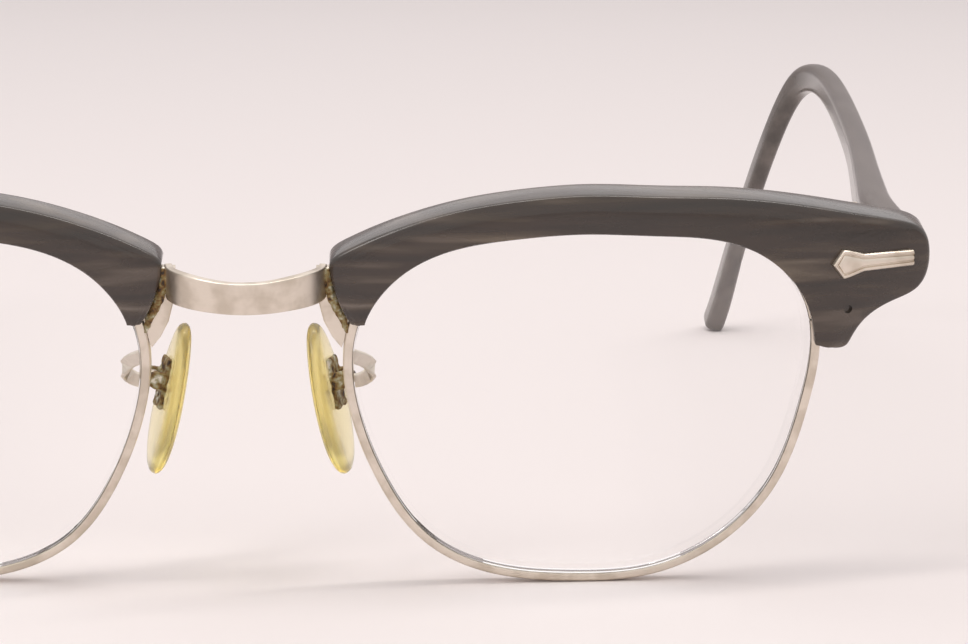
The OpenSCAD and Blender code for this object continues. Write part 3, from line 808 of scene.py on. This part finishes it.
def strap_path():
    """Place and half height of the strap, from shares of its half length, bow and dip."""
    half = [
        (0, -1.12, 0, 0), (0.3, -1.08, 0.3, 0), (0.6, -0.95, 0.9, 0.1), (0.85, -0.62, 0.6, 0.15),
        (0.97, -0.25, -0.3, 0.1), (1, 0, -0.4, 0.1),
    ]
    rows = [(-q[0], *q[1:]) for q in reversed(half[1:])] + half
    return [
        (
            along * STRAP_HALF,
            FOOT_Y + bow * (STRAP_BOW + FOOT_Y),
            STRAP_Z + 0.2 * (1 - abs(along)) + dip * STRAP_DIP,
            STRAP_H / 2 + taller,
        )
        for along, bow, dip, taller in rows
    ]


# The edge of a foot towards the nose, from the middle of the lens
FOOT_EDGE = [(-27.1, 15.3), (-27.15, 13), (-26.85, 11.5), (-26.35, 9.5), (-25.5, 7.8), (-24.55, 6.6)]


def foot():
    """A flat foot, soldered to the rim and held behind the nose end of the brow."""
    outline = FOOT_EDGE + [tuple(beside(a, WIRE_WALL + SEAT)) for a in range(163, 141, -3)]
    layers = [(0.12, -FOOT_T / 2), (0, -FOOT_T / 2 + 0.12), (0, FOOT_T / 2 - 0.12), (0.12, FOOT_T / 2)]
    middle = np.mean(np.array(outline), axis=0)
    rings = []
    for inset, y in layers:
        ring = []
        for x, z in outline:
            away = unit(np.array((x, z)) - middle)
            ring.append((EYE_X + x - inset * away[0], FOOT_Y + y, z - inset * away[1]))
        rings.append(ring)
    return skin("foot", rings, FRONT, METAL)


def strap():
    """The strap is rolled with a low bead along each long edge of its front."""
    path = strap_path()
    t = STRAP_T / 2
    rings = []
    for i in range(97):
        s = i / 96
        c, along = path_at(path, s), heading(path, s)
        v = unit(np.array((0, 0, 1)) - along[2] * along)
        u = np.cross(along, v)
        h = c[3]
        corners = [
            (t, h, 0.2), (-t + 0.05, h, 0.1), (-t, h - 0.15, 0.04), (-t + 0.2, h - 0.24, 0.03),
            (-t + 0.07, h - 0.34, 0.05),
            (-t + 0.07, 0.35 - h, 0.06), (-t, 0.2 - h, 0.06), (-t + 0.05, -h, 0.12), (t, -h, 0.2),
        ]
        rings.append([tuple(c[:3] + q[0] * u + q[1] * v) for q in filleted(corners, 4)])
    return skin("strap", rings, FRONT, METAL)


right_foot = foot()
left_foot = mirrored(right_foot, "left_foot")
bridge = join(strap(), [right_foot, left_foot])
bridge.name = "strap_bridge"
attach(bridge, "front")
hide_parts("bridge")


# Nose pads


def nose_pad():
    """An egg-shaped pad with a domed face, thinner towards its edge."""

    def ring(share, x):
        out = []
        for k in range(96):
            e = 2 * math.pi * k / 96
            y = PAD_W / 2 * share * math.cos(e) * (1 - 0.2 * math.sin(e))
            out.append((PAD_BACK + x, y, PAD_DROP + PAD_H / 2 * share * math.sin(e)))
        return out

    # Share of the size and share of the thickness, from the flat back over the edge to the domed face
    profile = [
        (0.3, 0), (0.6, 0), (0.85, 0.02), (0.93, 0.1), (0.97, 0.2), (0.99, 0.33), (1, 0.5), (0.99, 0.62),
        (0.965, 0.74), (0.92, 0.84), (0.84, 0.92), (0.7, 0.99), (0.5, 1.05), (0.25, 1.09),
    ]
    rings = [ring(share, PAD_T * x) for share, x in profile]
    tips = [(PAD_BACK, 0, PAD_DROP), (PAD_BACK + PAD_T * 1.1, 0, PAD_DROP)]
    return skin("pad", rings, PAD, AMBER, tips=tips, sharp=60)


fit_out(nose_pad(), "amber_pad", "{side}_pad", "pad_plastic", "nose_pad")


# Corrosion


def crusted(piece, grain=0.12, height=0.16, seed=0.0):
    """Turns a piece into one skin and roughens it, as corrosion does to thin metal."""
    step = piece.modifiers.new("crust", "REMESH")
    step.mode = "VOXEL"
    step.voxel_size = grain / 1000
    result = settle(piece)
    normals = [v.normal.copy() for v in result.vertices]
    # Two sizes of lump, about 0.9 mm and 0.4 mm across
    for v, normal in zip(result.vertices, normals):
        at = v.co * 1000
        rise = noise.noise(at * 1.1 + Vector((seed, 0, 0))) * 0.6 + noise.noise(at * 2.6) * 0.4
        v.co += normal * (rise * height / 1000)
    result.materials.clear()
    result.materials.append(CRUST)
    result.shade_smooth()
    return piece


def pad_box():
    """The box behind a pad: a plate with two ears on the pin, thick with corrosion."""
    parts = [
        block("back", (0.75, -1.6, -3.0), (1.25, 1.6, 2.4), PAD, 0.2),
        block("ear", (0, -1.65, -0.95), (1.2, -1.05, 0.95), PAD, 0.1),
        block("ear", (0, 1.05, -0.95), (1.2, 1.65, 0.95), PAD, 0.1),
    ]
    for side in (-1, 1):
        spot = PAD @ Matrix.Translation((0, side * 1.5, 0)) @ Matrix.Rotation(math.pi / 2, 4, "X")
        parts.append(rod("ear_end", 0.95, -0.4, 0.4, spot))
    return crusted(join(parts[0], parts[1:]))


def seam():
    """Crust that has grown in the seam between the nose end of a brow and the foot of the bridge."""
    # An angle on the lens edge, how far outwards and upwards the crust lies from it, and its radius
    spots = [
        (143.5, -5.8, 0.9, 0.3), (146, -5.2, 1.1, 0.48), (149, -4.1, 0.8, 0.6), (152, -2.95, 0.4, 0.58),
        (155, -1.6, 0.0, 0.5), (159, -0.2, -0.4, 0.25),
    ]
    path = []
    for a, across, up, r in spots:
        p = lens_edge(a) + np.array((across, up))
        path.append((EYE_X + p[0] - 0.32, 0.4, p[1] - 0.2, r))
    rings = []
    for i in range(41):
        c, along = path_at(path, i / 40), heading(path, i / 40)
        u = unit(np.array((0, 1, 0)) - along[1] * along)
        v = np.cross(u, along)
        turns = np.arange(12) * math.pi / 6
        rings.append([tuple(c[:3] + c[3] * (math.cos(w) * u * 0.8 + math.sin(w) * v)) for w in turns])
    return crusted(skin("seam", rings, FRONT), 0.1, 0.3, 3.0)


fit_out(pad_box(), "corroded_box", "{side}_pad", "frame_metal", "pad_box")
fit_out(seam(), "corroded_seam", "front", "frame_metal")


# Screws


def screw_tree():
    """Geometry Nodes that put a slotted screw on every point, turned along the point's axis."""
    tree = bpy.data.node_groups.new("slotted_screws", "GeometryNodeTree")
    face = tree.interface
    face.new_socket("Geometry", in_out="INPUT", socket_type="NodeSocketGeometry")
    for label, value in (("Slot Width", 0.00022), ("Slot Depth", 0.3)):
        face.new_socket(label, in_out="INPUT", socket_type="NodeSocketFloat").default_value = value
    face.new_socket("Finish", in_out="INPUT", socket_type="NodeSocketMaterial")
    face.new_socket("Geometry", in_out="OUTPUT", socket_type="NodeSocketGeometry")
    inside = add(tree, "NodeGroupInput")
    named = {}
    for label in ("axis", "head", "shank"):
        node = add(tree, "GeometryNodeInputNamedAttribute", {"data_type": "FLOAT_VECTOR"})
        node.inputs["Name"].default_value = label
        named[label] = node.outputs[0]
    turn = add(tree, "FunctionNodeAlignRotationToVector", {"axis": "Z"}, Vector=named["axis"]).outputs[0]

    def bar(sides, low):
        rod_node = add(tree, "GeometryNodeMeshCylinder", {"Vertices": sides, "Radius": 1.0, "Depth": 1.0})
        solid = rod_node.outputs["Mesh"]
        return add(tree, "GeometryNodeTransform", {"Translation": (0, 0, low)}, Geometry=solid).outputs[0]

    # The slot is cut while the head's radius and height are still 1
    wide = add(tree, "ShaderNodeMath", {"operation": "MULTIPLY", 1: 1100.0}, i0=inside.outputs["Slot Width"])
    size = add(tree, "ShaderNodeCombineXYZ", {"X": 3.0, "Z": 0.6}, Y=wide.outputs[0])
    groove = add(tree, "GeometryNodeMeshCube", Size=size.outputs[0]).outputs["Mesh"]
    high = add(tree, "ShaderNodeMath", {"operation": "SUBTRACT", 0: 1.3}, i1=inside.outputs["Slot Depth"])
    lift = add(tree, "ShaderNodeCombineXYZ", Z=high.outputs[0]).outputs[0]
    slot = add(tree, "GeometryNodeTransform", Geometry=groove, Translation=lift).outputs[0]
    head = add(
        tree, "GeometryNodeMeshBoolean", {"operation": "DIFFERENCE"}, i0=bar(40, 0.5), i1=slot
    ).outputs[0]
    parts = []
    for form, label in ((head, "head"), (bar(24, -0.5), "shank")):
        parts.append(add(
            tree, "GeometryNodeInstanceOnPoints", Points=inside.outputs["Geometry"], Instance=form,
            Rotation=turn, Scale=named[label],
        ).outputs[0])
    both = add(tree, "GeometryNodeJoinGeometry")
    for part in parts:
        tree.links.new(part, both.inputs[0])
    real = add(tree, "GeometryNodeRealizeInstances", Geometry=both.outputs[0])
    finish = inside.outputs["Finish"]
    painted = add(tree, "GeometryNodeSetMaterial", Geometry=real.outputs[0], Material=finish)
    flat = add(tree, "GeometryNodeSetShadeSmooth", {"Shade Smooth": False}, Geometry=painted.outputs[0])
    add(tree, "NodeGroupOutput", Geometry=flat.outputs[0])
    return tree


def screws():
    """The right side's closing screw, two brow screws and hinge screw.

    Each is given by the place under its head, its axis, and the radius and length of its head and its shank.
    """
    at_block = on_front(BLOCK_AT)
    rows = []

    def screw(place, point, axis, head_r, head_h, shank_r, shank_l):
        where = (place @ Vector(point)) / 1000
        way = (place.to_3x3() @ Vector(axis)).normalized()
        rows.append((where, way, (head_r, head_r, head_h), (shank_r, shank_r, shank_l)))

    screw(at_block, (0, 0.15, 2.23), (0, 0, 1), 0.85, 0.6, 0.5, 3.6)
    screw(at_block, (LUG[0], 0.83, LUG[1]), (0, 1, 0), 0.85, 0.5, 0.5, 2.4)
    screw(FRONT, (EYE_X - 23.9, FOOT_Y + FOOT_T / 2 + SEAT, 13.2), (0, 1, 0), 0.85, 0.5, 0.5, 1.9)
    hinge = FRONT @ Matrix.Translation(PIN_INSIDE)
    screw(hinge, (0, 0, 1.98), (0, 0, 1), 1.25, 0.5, 0.6, 4.4)
    mesh = bpy.data.meshes.new("screw_places")
    mesh.from_pydata([tuple(r[0]) for r in rows], [], [])
    for k, label in ((1, "axis"), (2, "head"), (3, "shank")):
        layer = mesh.attributes.new(label, "FLOAT_VECTOR", "POINT")
        for i, row in enumerate(rows):
            layer.data[i].vector = row[k] if k == 1 else tuple(v / 1000 for v in row[k])
    piece = put("screws", mesh)
    step = piece.modifiers.new("screws", "NODES")
    step.node_group = screw_tree()
    for item in step.node_group.interface.items_tree:
        if item.in_out == "INPUT" and item.name == "Finish":
            step[item.identifier] = METAL
    settle(piece)
    return piece


fit_out(screws(), "slotted_screws", "front", "frame_metal", "closing_screw", "brow_screws", "hinge_screw")


# Floor, backdrop, lights and camera


def studio():
    """A plain pale sweep: a floor that curves up into a wall behind."""
    side, front, far, curve, top = 2.5, -2.0, 1.6, 0.6, 2.4
    rows = [(front, 0.0), (far, 0.0)]
    for a in range(10, 91, 10):
        rows.append((far + curve * math.sin(math.radians(a)), curve - curve * math.cos(math.radians(a))))
    rows += [(far + curve, top)]
    mesh = bpy.data.meshes.new("sweep")
    points = [(x, y, z) for y, z in rows for x in (-side, side)]
    mesh.from_pydata(points, [], [(2 * i, 2 * i + 1, 2 * i + 3, 2 * i + 2) for i in range(len(rows) - 1)])
    mesh.shade_smooth()
    sweep = put("sweep", mesh)
    paper, tree, shader = surface("matt_paper", Roughness=0.9)
    shader.inputs["Base Color"].default_value = colour("#F6EFEF")
    shader.inputs["Specular IOR Level"].default_value = 0.1
    mesh.materials.append(paper)


def lamp(name, place, aim, size, power, tint="#FFFFFF"):
    """A soft rectangular lamp that looks at a place."""
    light = bpy.data.lights.new(name, "AREA")
    light.shape = "RECTANGLE"
    light.size, light.size_y = size
    light.energy = power
    light.color = colour(tint)[:3]
    piece = put(name, light)
    piece.location = place
    piece.rotation_euler = (Vector(aim) - Vector(place)).to_track_quat("-Z", "Y").to_euler()


studio()
lamp("top", (0.0, 0.0, 0.8), (0, 0, 0.02), (0.9, 0.5), 1.15, "#FFFCFA")
lamp("strip", (0.05, -0.15, 0.75), (0, 0, 0.02), (1.1, 0.07), 2.1, "#FFF8F2")
lamp("back", (0.0, 0.7, 0.52), (0, 0, 0.03), (1.4, 0.4), 1.2)
lamp("key", (-0.5, -0.5, 0.6), (0, 0, 0.02), (0.3, 0.3), 1.2, "#FFFAF6")


def room():
    """The room is dim for the light it gives, and pale where metal or glass shows it."""
    world = bpy.data.worlds.new("room")
    world.use_nodes = True
    tree = world.node_tree
    background = tree.nodes["Background"]
    background.inputs[0].default_value = colour("#FFFCFB")
    ray = add(tree, "ShaderNodeLightPath")
    seen = add(
        tree, "ShaderNodeMath", {"operation": "MAXIMUM"},
        i0=ray.outputs["Is Glossy Ray"], i1=ray.outputs["Is Transmission Ray"],
    )
    strength = add(tree, "ShaderNodeMapRange", {"To Min": 0.46, "To Max": 0.92}, Value=seen.outputs[0])
    tree.links.new(strength.outputs[0], background.inputs[1])
    bpy.context.scene.world = world


def camera():
    """Stands in front, a little higher than the glasses, and has them left of its middle."""
    view = bpy.data.cameras.new("camera")
    view.lens = 113.44
    view.sensor_width = 36.0
    view.shift_x = 0.12388
    view.clip_start = 0.01
    view.clip_end = 10
    piece = put("camera", view)
    across, away, up, tilt = 0.012, 0.3059518, 0.0887237, 78.9
    piece.location = (across, -away - DEPTH_MID / 1000, up)
    piece.rotation_euler = (math.radians(tilt), 0, 0)
    bpy.context.scene.camera = piece


room()
camera()
bpy.context.scene.view_settings.view_transform = "Standard"
